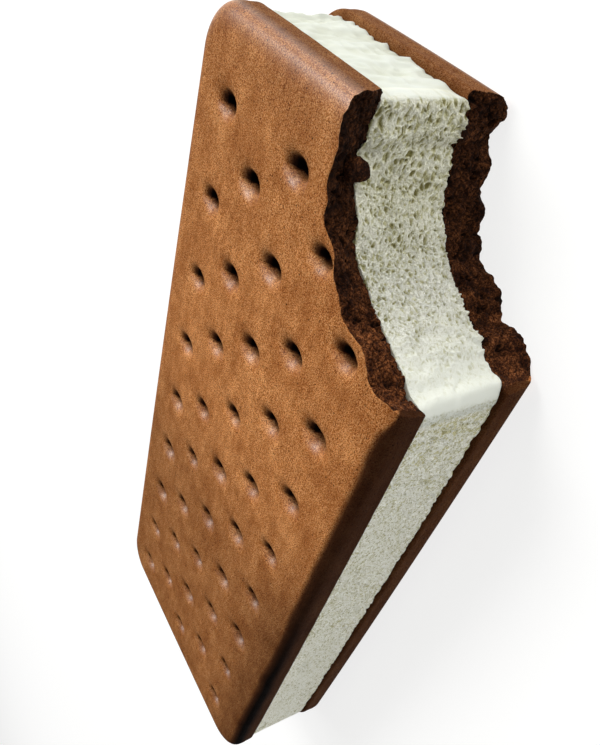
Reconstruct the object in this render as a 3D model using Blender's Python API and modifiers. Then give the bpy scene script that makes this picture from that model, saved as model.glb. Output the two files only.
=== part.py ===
# A bitten ice cream sandwich: two soft chocolate wafers with a slab of vanilla ice cream between.
# It lies flat on one wafer. The origin is the middle of the underside, +X runs along the length,
# +Y across it, and +Z up through the layers. The bite has taken the corner at +X, -Y.
# All sizes are in metres.

import math

import bmesh
import bpy

# The whole sandwich
NAME = "ice_cream_sandwich"
LENGTH = 0.120
WIDTH = 0.052
WAFER = 0.0048                      # thickness of one wafer
FILLING = 0.0120                    # room between the two wafers
GAP = 0.0003                        # clearance between the ice cream and each wafer
HEIGHT = 2 * WAFER + FILLING

# Plan outline
CORNER = 0.0065                     # radius of the four corners
CORNER_STEPS = 6
BOW_LONG = 0.00035                  # how far the long sides swell at their middle
BOW_SHORT = 0.0003
LONG_STEPS = 12                     # points along a long side
SHORT_STEPS = 5

# Wafer edges
CRUST_ROUND = 0.0029                # the baked outer rim is rounded this far in and down
CRUST_SQUARENESS = 0.587            # 0.5 would be a true arc, more is fuller
RIM_ROUND = 0.0005                  # the rim that meets the ice cream
LEAST_RIM = 0.0002                  # rings narrower than this aren't cut

# Docker holes: a staggered grid of funnels pressed into each wafer's baked face
HOLE_PITCH_X = 0.0063
HOLE_PITCH_Y = 0.00825
HOLE_ROWS = 8                       # steps from the middle to the last row, along X
HOLE_LINES = 2                      # steps from the middle to the last line, along Y
HOLE_JOG = 0.00035                  # the rows of two holes lie slightly off the even pitch
HOLE_SIDES = 8
FUNNEL = [(0.0019, 0.0), (0.00105, 0.0005), (0.0006, 0.0022)]   # radius at each depth

# Ice cream slab
SLAB_INSET = 0.0006                 # how far its sides stand in from the wafers' edges
SLAB_MELT = 0.00018                 # uneven melting of its sides
SLAB_ROUND = 0.0007

# Bite: tooth marks round a point just outside the missing corner
BITE_X = 0.0615
BITE_Y = -0.029
BITE_REACH = 0.0240                 # depth of the cusps between tooth marks
BITE_STEP = 2.0                     # degrees between points round the bite
BITE_BACK = 0.0215                  # radius where the cutter is clear of the sandwich
OVERSHOOT = 0.002                   # how far cutters reach past the faces

# Tooth marks at four heights. Each is (middle, half width, depth): degrees round the bite
# from the -X direction towards +Y, and how far it cuts behind the cusps.
TOP_FACE_MARKS = [(16, 10, 0.0017), (36, 10, 0.0018), (44, 6, 0.0018), (58, 9, 0.0024), (67, 7, 0.0017),
                  (78, 9, 0.0006)]
TOP_RIM_MARKS = [(11, 12, 0.0019), (26, 12, 0.0012), (42, 14, 0.0022), (52, 11, 0.0031), (62, 5, 0.0029),
                 (75, 6, 0.0020), (84, 8, 0.0010)]
SLAB_MARKS = [(6, 11, 0.0016), (22, 14, 0.0010), (40, 16, 0.0014), (58, 16, 0.0017), (72, 9, 0.0012),
              (83, 9, 0.0006)]
UNDER_FACE_MARKS = [(8, 9, 0.0009), (27, 7, 0.0008), (42, 7, 0.0012), (51, 6, 0.0012), (61, 5, 0.0004),
                    (76, 6, 0.0008)]
UNDER_FACE_SHY = 0.0008             # the underside was bitten less deeply


def clear_scene():
    for thing in list(bpy.data.objects):
        bpy.data.objects.remove(thing, do_unlink=True)


def new_collection(name):
    group = bpy.data.collections.new(name)
    bpy.context.scene.collection.children.link(group)
    return group


def material(name, colour, roughness):
    made = bpy.data.materials.new(name)
    made.use_nodes = True
    shader = made.node_tree.nodes["Principled BSDF"]
    shader.inputs["Base Color"].default_value = (*colour, 1.0)
    shader.inputs["Roughness"].default_value = roughness
    shader.inputs["Metallic"].default_value = 0.0
    return made


def place(name, mesh, group):
    thing = bpy.data.objects.new(name, mesh)
    group.objects.link(thing)
    return thing


def as_cutter(thing):
    thing.hide_render = True
    thing.display_type = "WIRE"
    return thing


def cut(thing, cutter):
    step = thing.modifiers.new("cut by " + cutter.name, "BOOLEAN")
    step.operation = "DIFFERENCE"
    step.solver = "EXACT"
    step.object = cutter


def bowed(x, y, length, width):
    # The sides swell outwards, most at their middle and not at all at the corners.
    u = x / (length / 2)
    v = y / (width / 2)
    return (x + math.copysign(BOW_SHORT * (1 - v * v) * abs(u), x),
            y + math.copysign(BOW_LONG * (1 - u * u) * abs(v), y))


def outline(inset, melt=0.0):
    # Anticlockwise round a rectangle with round corners. Melt makes its sides uneven.
    length, width, radius = LENGTH - 2 * inset, WIDTH - 2 * inset, CORNER - inset
    corners = [(1, 1), (-1, 1), (-1, -1), (1, -1)]
    points = []
    for turn, (side_x, side_y) in enumerate(corners):
        mid_x, mid_y = side_x * (length / 2 - radius), side_y * (width / 2 - radius)
        for step in range(CORNER_STEPS + 1):
            angle = math.radians(90) * (turn + step / CORNER_STEPS)
            points.append((mid_x + radius * math.cos(angle), mid_y + radius * math.sin(angle)))
        next_x, next_y = corners[(turn + 1) % 4]
        steps = SHORT_STEPS if side_x == next_x else LONG_STEPS
        end_angle = math.radians(90) * (turn + 1)
        end_x = next_x * (length / 2 - radius) + radius * math.cos(end_angle)
        end_y = next_y * (width / 2 - radius) + radius * math.sin(end_angle)
        last_x, last_y = points[-1]
        for step in range(1, steps):
            share = step / steps
            points.append((last_x + share * (end_x - last_x), last_y + share * (end_y - last_y)))
    swollen = [bowed(x, y, length, width) for x, y in points]
    return [(x * (1 - melt * (1 + wave(x, y)) / length), y * (1 - melt * (1 + wave(x, y)) / width))
            for x, y in swollen]


def wave(x, y):
    # A smooth uneven number from -1 to 1 for a place on the outline.
    return 0.5 * (math.sin(190 * x + 330 * y) + math.sin(410 * x - 150 * y + 1.3))


def plate(name, points, low, high, group):
    # A flat outline given its thickness as a 2D curve, then made a clean closed mesh.
    curve = bpy.data.curves.new(name + "_outline", "CURVE")
    curve.dimensions = "2D"
    curve.fill_mode = "BOTH"
    curve.extrude = (high - low) / 2
    spline = curve.splines.new("POLY")
    spline.points.add(len(points) - 1)
    spline.use_cyclic_u = True
    for point, (x, y) in zip(spline.points, points):
        point.co = (x, y, 0, 1)
    guide = place(name + "_guide", curve, group)
    guide.location.z = (low + high) / 2
    bpy.context.view_layer.update()
    seen = guide.evaluated_get(bpy.context.evaluated_depsgraph_get())
    mesh = bpy.data.meshes.new_from_object(seen)
    mesh.transform(guide.matrix_world)
    mesh.name = name
    bpy.data.objects.remove(guide, do_unlink=True)
    shape = bmesh.new()
    shape.from_mesh(mesh)
    bmesh.ops.remove_doubles(shape, verts=shape.verts, dist=1e-6)
    bmesh.ops.dissolve_limit(shape, angle_limit=math.radians(1), verts=[], edges=shape.edges)
    bmesh.ops.recalc_face_normals(shape, faces=shape.faces)
    shape.to_mesh(mesh)
    shape.free()
    return place(name, mesh, group)


def round_rim(thing, height, width, segments, squareness=0.5):
    # Rounds the ring of edges that lies at one height.
    shape = bmesh.new()
    shape.from_mesh(thing.data)
    ring = [edge for edge in shape.edges
            if all(abs(vert.co.z - height) < LEAST_RIM for vert in edge.verts)]
    bmesh.ops.bevel(shape, geom=ring, offset=width, offset_type="OFFSET", segments=segments,
                    profile=squareness, affect="EDGES", clamp_overlap=False)
    shape.to_mesh(thing.data)
    shape.free()


def finish(thing, look):
    thing.data.materials.append(look)
    thing.data.shade_smooth()
    thing.data.set_sharp_from_angle(angle=math.radians(40))


def wafer(name, low, crust_up, group, look):
    # The crust is the baked outer face, and the other face lies on the ice cream.
    high = low + WAFER
    made = plate(name, outline(0.0), low, high, group)
    round_rim(made, high if crust_up else low, CRUST_ROUND, 4, CRUST_SQUARENESS)
    round_rim(made, low if crust_up else high, RIM_ROUND, 2)
    finish(made, look)
    return made


def ice_cream(name, group, look):
    low, high = WAFER + GAP, WAFER + FILLING - GAP
    made = plate(name, outline(SLAB_INSET, SLAB_MELT), low, high, group)
    round_rim(made, low, SLAB_ROUND, 2)
    round_rim(made, high, SLAB_ROUND, 2)
    finish(made, look)
    return made


def hole_places():
    # Every second place of the grid has a hole, as on the five-spot side of a die.
    for row in range(-HOLE_ROWS, HOLE_ROWS + 1):
        jog = HOLE_JOG * (row % 2) * ((row % 4) - 2)
        for line in range(-HOLE_LINES, HOLE_LINES + 1):
            if (row + line) % 2 == 0:
                yield row * HOLE_PITCH_X + jog, line * HOLE_PITCH_Y


def funnel_mesh(group):
    # One turned pin, its mouth at height zero, pointing down.
    wide, deep = FUNNEL[0][0], FUNNEL[-1][1]
    profile = [(0.0, OVERSHOOT), (wide, OVERSHOOT)]
    profile += [(radius, -depth) for radius, depth in FUNNEL]
    profile += [(0.0, -deep)]
    mesh = bpy.data.meshes.new("funnel")
    mesh.from_pydata([(x, 0, z) for x, z in profile], [(i, i + 1) for i in range(len(profile) - 1)], [])
    pin = place("funnel", mesh, group)
    turn = pin.modifiers.new("turn", "SCREW")
    turn.steps = HOLE_SIDES
    turn.render_steps = HOLE_SIDES
    turn.use_merge_vertices = True
    turn.merge_threshold = 1e-5
    bpy.context.view_layer.update()
    seen = pin.evaluated_get(bpy.context.evaluated_depsgraph_get())
    turned = bpy.data.meshes.new_from_object(seen)
    bpy.data.objects.remove(pin, do_unlink=True)
    return turned


def docker_pins(name, face, upwards, group):
    # All the funnels of one wafer as one cutter, standing in its baked face.
    funnel = funnel_mesh(group)
    shape = bmesh.new()
    for x, y in hole_places():
        before = len(shape.verts)
        shape.from_mesh(funnel)
        shape.verts.ensure_lookup_table()
        for vert in shape.verts[before:]:
            height = vert.co.z if upwards else -vert.co.z
            vert.co = (x + vert.co.x, y + vert.co.y, face + height)
    if not upwards:
        bmesh.ops.reverse_faces(shape, faces=shape.faces)
    mesh = bpy.data.meshes.new(name)
    shape.to_mesh(mesh)
    shape.free()
    return as_cutter(place(name, mesh, group))


def bite_radius(degrees, marks, shy):
    # Tooth marks are half ellipses that reach behind an even ring of cusps.
    if degrees > 110:
        return BITE_BACK
    deepest = 0.0
    for middle, half_width, depth in marks:
        share = 1 - ((degrees - middle) / half_width) ** 2
        if share > 0:
            deepest = max(deepest, depth * math.sqrt(share))
    return BITE_REACH - shy + deepest


def bite_ring(shape, height, marks, shy=0.0):
    ring = []
    for step in range(int(360 / BITE_STEP)):
        degrees = step * BITE_STEP
        radius = bite_radius(degrees, marks, shy)
        angle = math.radians(180 - degrees)
        ring.append(shape.verts.new((BITE_X + radius * math.cos(angle),
                                     BITE_Y + radius * math.sin(angle), height)))
    return ring


def bite_cutter(name, group):
    # A loft between the tooth marks in each face, from the underside up.
    shape = bmesh.new()
    slab_low, slab_high = WAFER + GAP, WAFER + FILLING - GAP
    rings = [bite_ring(shape, -OVERSHOOT, UNDER_FACE_MARKS, UNDER_FACE_SHY),
             bite_ring(shape, 0.0, UNDER_FACE_MARKS, UNDER_FACE_SHY),
             bite_ring(shape, WAFER, SLAB_MARKS),
             bite_ring(shape, slab_low, SLAB_MARKS),
             bite_ring(shape, slab_high, SLAB_MARKS),
             bite_ring(shape, WAFER + FILLING, TOP_RIM_MARKS),
             bite_ring(shape, HEIGHT, TOP_FACE_MARKS),
             bite_ring(shape, HEIGHT + OVERSHOOT, TOP_FACE_MARKS)]
    count = len(rings[0])
    for below, above in zip(rings, rings[1:]):
        for i in range(count):
            j = (i + 1) % count
            shape.faces.new((below[i], below[j], above[j], above[i]))
    shape.faces.new(rings[0])
    shape.faces.new(rings[-1])
    bmesh.ops.recalc_face_normals(shape, faces=shape.faces)
    mesh = bpy.data.meshes.new(name)
    shape.to_mesh(mesh)
    shape.free()
    return as_cutter(place(name, mesh, group))


def main():
    clear_scene()
    sandwich = new_collection(NAME)
    cutters = new_collection("cutters")
    crust = material("chocolate wafer", (0.34, 0.15, 0.055), 0.62)
    vanilla = material("vanilla ice cream", (0.80, 0.79, 0.67), 0.45)

    bottom = wafer("bottom_wafer", 0.0, False, sandwich, crust)
    slab = ice_cream("ice_cream", sandwich, vanilla)
    top = wafer("top_wafer", WAFER + FILLING, True, sandwich, crust)

    cut(top, docker_pins("top_pins", HEIGHT, True, cutters))
    cut(bottom, docker_pins("bottom_pins", 0.0, False, cutters))
    bite = bite_cutter("bite", cutters)
    for layer in (top, slab, bottom):
        cut(layer, bite)


main()
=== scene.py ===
# Looks of a bitten ice cream sandwich: baked chocolate wafers with docker holes, their torn dark
# crumb, and the porous ice cream between them. Shapes are worked out in millimetres, in the
# frame's own axes, and made metres when they become meshes.

import math

import bmesh
import bpy
import numpy as np
from mathutils import Matrix, Vector


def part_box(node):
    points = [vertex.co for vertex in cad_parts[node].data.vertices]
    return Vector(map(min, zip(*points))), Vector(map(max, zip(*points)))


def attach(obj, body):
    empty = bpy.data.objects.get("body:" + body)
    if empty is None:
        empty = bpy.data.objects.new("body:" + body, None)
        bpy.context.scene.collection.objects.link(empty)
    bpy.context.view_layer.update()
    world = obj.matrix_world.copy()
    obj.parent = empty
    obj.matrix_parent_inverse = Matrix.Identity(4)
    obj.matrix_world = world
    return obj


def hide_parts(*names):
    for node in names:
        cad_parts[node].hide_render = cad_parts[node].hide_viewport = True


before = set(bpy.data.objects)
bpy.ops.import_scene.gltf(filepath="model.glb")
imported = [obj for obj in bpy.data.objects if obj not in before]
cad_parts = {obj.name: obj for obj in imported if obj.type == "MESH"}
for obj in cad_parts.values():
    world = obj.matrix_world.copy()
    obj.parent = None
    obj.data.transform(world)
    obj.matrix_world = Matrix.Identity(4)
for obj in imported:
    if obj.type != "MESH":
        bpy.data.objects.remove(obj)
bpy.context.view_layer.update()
mm = 0.001

bottomLow, bottomHigh = [np.array(corner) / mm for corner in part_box("bottom_wafer")]
topLow, topHigh = [np.array(corner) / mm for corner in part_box("top_wafer")]
print("frame: sandwich", np.round(topHigh - bottomLow, 2), "mm")

sandwich = dict(
    bowLong=0.35, bowShort=0.3,         # how far the long and short sides swell at their middle
    corner=6.5,                         # plan radius of the corners
)
sandwich["length"] = topHigh[0] - topLow[0] - 2 * sandwich["bowShort"]
sandwich["width"] = topHigh[1] - topLow[1] - 2 * sandwich["bowLong"]
sandwich["wafer"] = topHigh[2] - topLow[2]
sandwich["fillingLow"], sandwich["fillingHigh"] = bottomHigh[2], topLow[2]


def latticeNumber(ix, iy, iz, seed):
    # a repeatable number from 0 to 1 for each whole-number place: products of large primes, mixed
    mask = 0xFFFFFFFF
    h = (ix * 374761393 + iy * 668265263 + iz * 1274126177 + seed * 144665) & mask
    h = ((h ^ (h >> 13)) * 1103515245) & mask
    h = ((h ^ (h >> 15)) * 374761393) & mask
    return ((h ^ (h >> 16)) & mask) / mask


def softNoise(points, size, seed=0):
    # lattice numbers blended with a smooth step in each direction, from -1 to 1
    q = np.asarray(points, float) / size
    whole = np.floor(q).astype(np.int64)
    f = q - whole
    f = f * f * (3 - 2 * f)
    total = np.zeros(len(q))
    for corner in range(8):
        dx, dy, dz = corner & 1, (corner >> 1) & 1, corner >> 2
        share = (f[:, 0] if dx else 1 - f[:, 0]) * (f[:, 1] if dy else 1 - f[:, 1])
        share = share * (f[:, 2] if dz else 1 - f[:, 2])
        total += share * latticeNumber(whole[:, 0] + dx, whole[:, 1] + dy, whole[:, 2] + dz, seed)
    return 2 * total - 1


def layeredNoise(points, size, layers, seed=0):
    # soft noise summed over layers, each half the size and half the height of the last
    total = np.zeros(len(points))
    for layer in range(layers):
        total += 0.5 ** layer * softNoise(points, size * 0.5 ** layer, seed + layer)
    return total / (2 - 0.5 ** (layers - 1))


def cellNoise(points, size, seed=0):
    # one scattered point in each lattice cell: the distances to the nearest and the next, in cells,
    # and a number from 0 to 1 that belongs to the nearest
    q = np.asarray(points, float) / size
    whole = np.floor(q).astype(np.int64)
    first = np.full(len(q), 9.0)
    second = np.full(len(q), 9.0)
    own = np.zeros(len(q))
    for step in range(27):
        cell = whole + np.array([step % 3 - 1, step // 3 % 3 - 1, step // 9 - 1])
        away = np.zeros(len(q))
        for axis in range(3):
            place = cell[:, axis] + latticeNumber(cell[:, 0], cell[:, 1], cell[:, 2], seed + 7 * axis)
            away += (place - q[:, axis]) ** 2
        away = np.sqrt(away)
        own = np.where(away < first, latticeNumber(cell[:, 0], cell[:, 1], cell[:, 2], seed + 29), own)
        second = np.minimum(second, np.maximum(first, away))
        first = np.minimum(first, away)
    return first, second, own


def smoothStep(low, high, value):
    # 0 before low, 1 after high, and 3t^2 - 2t^3 between them; low may be the larger
    share = np.clip((value - low) / (high - low), 0, 1)
    return share * share * (3 - 2 * share)


def makePiece(name, points, faces, finishes, faceFinish=None):
    # points in millimetres become a smooth mesh in metres
    mesh = bpy.data.meshes.new(name)
    mesh.from_pydata((np.asarray(points) * mm).tolist(), [], faces)
    piece = bpy.data.objects.new(name, mesh)
    bpy.context.scene.collection.objects.link(piece)
    for finish in finishes:
        mesh.materials.append(finish)
    if faceFinish is not None:
        mesh.polygons.foreach_set("material_index", faceFinish)
    mesh.shade_smooth()
    return piece


def gridQuads(rows, columns, closed):
    # quads between neighbouring rows of points, wrapped round when the rows are rings
    i = np.arange(rows - 1)[:, None] * columns
    j = np.arange(columns if closed else columns - 1)[None, :]
    k = (j + 1) % columns
    return np.stack([i + j, i + k, i + columns + k, i + columns + j], axis=-1).reshape(-1, 4)


def pointsOf(piece):
    flat = np.empty(3 * len(piece.data.vertices))
    piece.data.vertices.foreach_get("co", flat)
    return flat.reshape(-1, 3) / mm


def setAttribute(piece, name, values):
    piece.data.attributes.new(name, "FLOAT", "POINT").data.foreach_set("value", values)


def soften(piece, share, rounds):
    # each point moves its share of the way to the mean of its neighbours, round after round
    p = pointsOf(piece)
    ends = np.empty(2 * len(piece.data.edges), dtype=np.int32)
    piece.data.edges.foreach_get("vertices", ends)
    here, there = np.concatenate([ends.reshape(-1, 2), ends.reshape(-1, 2)[:, ::-1]]).T
    count = np.bincount(here, minlength=len(p))
    for step in range(rounds):
        mean = np.column_stack([np.bincount(here, p[there, axis], len(p)) / count for axis in range(3)])
        p += share[:, None] * (mean - p)
    piece.data.vertices.foreach_set("co", (p * mm).ravel())
    piece.data.update()


def bitten(piece, cutter):
    # takes the cutter out of the piece, and keeps the cutter's own finish on the torn wall
    step = piece.modifiers.new("bite", "BOOLEAN")
    step.operation = "DIFFERENCE"
    step.solver = "MANIFOLD"
    step.object = cutter
    bpy.context.view_layer.update()
    seen = piece.evaluated_get(bpy.context.evaluated_depsgraph_get())
    mesh = bpy.data.meshes.new_from_object(seen)
    piece.modifiers.clear()
    piece.data = mesh
    bpy.data.objects.remove(cutter, do_unlink=True)
    mesh.shade_smooth()
    mesh.set_sharp_from_angle(angle=math.radians(70))
    print(piece.name, len(mesh.vertices), "points,", len(mesh.polygons), "faces")


def linear(hexColour):
    # sRGB hex to linear, by the standard's two-part curve
    parts = [int(hexColour[i:i + 2], 16) / 255 for i in (1, 3, 5)]
    return tuple(p / 12.92 if p <= 0.04045 else ((p + 0.055) / 1.055) ** 2.4 for p in parts) + (1.0,)


def addNode(tree, kind, settings=None, inputs=None, stops=None):
    # one node: its settings, its values and links, and the stops of its ramp
    node = tree.nodes.new(kind)
    for name, value in (settings or {}).items():
        setattr(node, name, value)
    for socket, value in (inputs or {}).items():
        if isinstance(value, bpy.types.NodeSocket):
            tree.links.new(value, node.inputs[socket])
        else:
            node.inputs[socket].default_value = value
    if stops:
        ramp = node.color_ramp
        ramp.elements.remove(ramp.elements[1])
        ramp.elements[0].position = stops[0][0]
        ramp.elements[0].color = linear(stops[0][1])
        for position, colour in stops[1:]:
            ramp.elements.new(position).color = linear(colour)
    return node


# settings of the mixing and reckoning nodes
blend = {"data_type": "RGBA"}
tint = {"data_type": "RGBA", "blend_type": "MULTIPLY"}
times = {"operation": "MULTIPLY"}
timesPlus = {"operation": "MULTIPLY_ADD", "use_clamp": True}


def newMaterial(name):
    made = bpy.data.materials.new(name)
    made.use_nodes = True
    tree = made.node_tree
    shader = tree.nodes["Principled BSDF"]
    return made, tree, shader


def bakedCrust():
    # Cocoa wafer crust, baked on a steel band: sandy, and faintly waxy where the band smoothed it.
    # Flour and sugar grains are 0.1 mm, drawn at 0.15 mm so that they show. Cocoa specks and pores
    # are 0.3 mm; the pores are dark dots of painted shade. The cut long sides and the ends are baked
    # darker. The holes, the inner face beside the ice cream, the plain end, and the front long side,
    # which faces away from the lamps, are darkened as painted shade. All but a few places are dull.
    made, tree, shader = newMaterial("baked cocoa crust")
    place = addNode(tree, "ShaderNodeTexCoord").outputs["Object"]
    alongBand = addNode(tree, "ShaderNodeMapping", inputs={
        "Vector": place, "Scale": (0.2, 1, 1)}).outputs["Vector"]
    grain = addNode(tree, "ShaderNodeTexNoise", inputs={
        "Vector": place, "Scale": 1 / (0.15 * mm), "Detail": 3, "Roughness": 0.8}).outputs["Fac"]
    cocoa = addNode(tree, "ShaderNodeTexNoise", inputs={
        "Vector": place, "Scale": 1 / (0.3 * mm), "Detail": 3, "Roughness": 0.7}).outputs["Fac"]
    mottle = addNode(tree, "ShaderNodeTexNoise", inputs={
        "Vector": place, "Scale": 1 / (4.0 * mm), "Detail": 4, "Roughness": 0.6}).outputs["Fac"]
    streak = addNode(tree, "ShaderNodeTexNoise", inputs={
        "Vector": alongBand, "Scale": 1 / (1.3 * mm), "Detail": 4, "Roughness": 0.65}).outputs["Fac"]
    hatch = addNode(tree, "ShaderNodeTexNoise", inputs={
        "Vector": alongBand, "Scale": 1 / (0.3 * mm), "Detail": 2, "Roughness": 0.6}).outputs["Fac"]
    pores = addNode(tree, "ShaderNodeTexVoronoi", inputs={"Vector": place, "Scale": 1 / (1.6 * mm)})
    bakeAndShade = addNode(tree, "ShaderNodeAttribute", {"attribute_name": "bakeAndShade"}).outputs["Fac"]
    wax = addNode(tree, "ShaderNodeAttribute", {"attribute_name": "wax"}).outputs["Fac"]
    base = addNode(tree, "ShaderNodeValToRGB", inputs={"Fac": grain}, stops=[
        (0.39, "#7a3a18"), (0.5, "#e8944c"), (0.61, "#ffc88c")]).outputs["Color"]
    # near black at the top of the ramp: painted shade deep in the holes and over the crown of the front long
    # side
    dark = addNode(tree, "ShaderNodeValToRGB", inputs={"Fac": bakeAndShade}, stops=[
        (0.94, "#381d10"), (1.0, "#0a0402")]).outputs["Color"]
    base = addNode(tree, "ShaderNodeMix", blend, {0: bakeAndShade, 6: base, 7: dark}).outputs[2]
    specks = addNode(tree, "ShaderNodeValToRGB", inputs={"Fac": cocoa}, stops=[
        (0.30, "#6e4128"), (0.41, "#ffffff")]).outputs["Color"]
    base = addNode(tree, "ShaderNodeMix", tint, {0: 0.75, 6: base, 7: specks}).outputs[2]
    blotches = addNode(tree, "ShaderNodeValToRGB", inputs={"Fac": mottle}, stops=[
        (0.34, "#c8b49e"), (0.66, "#ffffff")]).outputs["Color"]
    base = addNode(tree, "ShaderNodeMix", tint, {0: 0.7, 6: base, 7: blotches}).outputs[2]
    lines = addNode(tree, "ShaderNodeValToRGB", inputs={"Fac": streak}, stops=[
        (0.35, "#d4c2ae"), (0.65, "#ffffff")]).outputs["Color"]
    base = addNode(tree, "ShaderNodeMix", tint, {0: 0.6, 6: base, 7: lines}).outputs[2]
    # pores as dark dots: painted shade inside them
    dots = addNode(tree, "ShaderNodeValToRGB", inputs={"Fac": pores.outputs["Distance"]}, stops=[
        (0.04, "#2c170a"), (0.10, "#ffffff")]).outputs["Color"]
    base = addNode(tree, "ShaderNodeMix", tint, {0: 0.85, 6: base, 7: dots}).outputs[2]
    sand = addNode(tree, "ShaderNodeMath", {"operation": "ADD"}, {0: grain, 1: cocoa}).outputs[0]
    sandy = addNode(tree, "ShaderNodeBump", inputs={"Height": sand, "Distance": 0.2 * mm, "Strength": 1.0})
    hatched = addNode(tree, "ShaderNodeBump", inputs={
        "Height": hatch, "Distance": 0.16 * mm, "Strength": 0.8, "Normal": sandy.outputs["Normal"]})
    bump = addNode(tree, "ShaderNodeBump", inputs={
        "Height": streak, "Distance": 0.10 * mm, "Strength": 0.4, "Normal": hatched.outputs["Normal"]})
    roughness = addNode(tree, "ShaderNodeMath", timesPlus, {0: bakeAndShade, 1: 0.3, 2: 0.52}).outputs[0]
    tree.links.new(base, shader.inputs["Base Color"])
    tree.links.new(bump.outputs["Normal"], shader.inputs["Normal"])
    tree.links.new(roughness, shader.inputs["Roughness"])
    tree.links.new(wax, shader.inputs["Coat Weight"])
    shader.inputs["Coat Roughness"].default_value = 0.4
    shader.inputs["Specular IOR Level"].default_value = 0.03
    shader.inputs["IOR"].default_value = 1.45
    return made


def tornCrumb():
    # Moist cocoa crumb where the wafer was bitten: open and dull, with red-brown lumps of 0.7 mm,
    # some paler than others, and almost black hollows between them, painted shade. It is also painted
    # lighter where the torn wall faces the lamps and darker where it turns away.
    made, tree, shader = newMaterial("torn cocoa crumb")
    place = addNode(tree, "ShaderNodeTexCoord").outputs["Object"]
    fine = addNode(tree, "ShaderNodeTexNoise", inputs={
        "Vector": place, "Scale": 1 / (0.25 * mm), "Detail": 3, "Roughness": 0.75}).outputs["Fac"]
    hollow = addNode(tree, "ShaderNodeAttribute", {"attribute_name": "hollow"}).outputs["Fac"]
    base = addNode(tree, "ShaderNodeValToRGB", inputs={"Fac": fine}, stops=[
        (0.37, "#2f170a"), (0.5, "#65371a"), (0.63, "#aa6a3e")]).outputs["Color"]
    broad = addNode(tree, "ShaderNodeTexNoise", inputs={
        "Vector": place, "Scale": 1 / (1.6 * mm), "Detail": 3, "Roughness": 0.6}).outputs["Fac"]
    lumps = addNode(tree, "ShaderNodeValToRGB", inputs={"Fac": broad}, stops=[
        (0.36, "#7a6c62"), (0.62, "#ffffff")]).outputs["Color"]
    base = addNode(tree, "ShaderNodeMix", tint, {0: 1.0, 6: base, 7: lumps}).outputs[2]
    # towards almost black by the hollow attribute: painted light and shade
    share = addNode(tree, "ShaderNodeMath", times, {0: hollow, 1: 0.95}).outputs[0]
    base = addNode(tree, "ShaderNodeMix", blend, {0: share, 6: base, 7: linear("#0d0502")}).outputs[2]
    bump = addNode(tree, "ShaderNodeBump", inputs={"Height": fine, "Distance": 0.25 * mm, "Strength": 1.0})
    tree.links.new(base, shader.inputs["Base Color"])
    tree.links.new(bump.outputs["Normal"], shader.inputs["Normal"])
    shader.inputs["Roughness"].default_value = 0.75
    shader.inputs["Specular IOR Level"].default_value = 0.1
    shader.inputs["IOR"].default_value = 1.4
    return made


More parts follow.
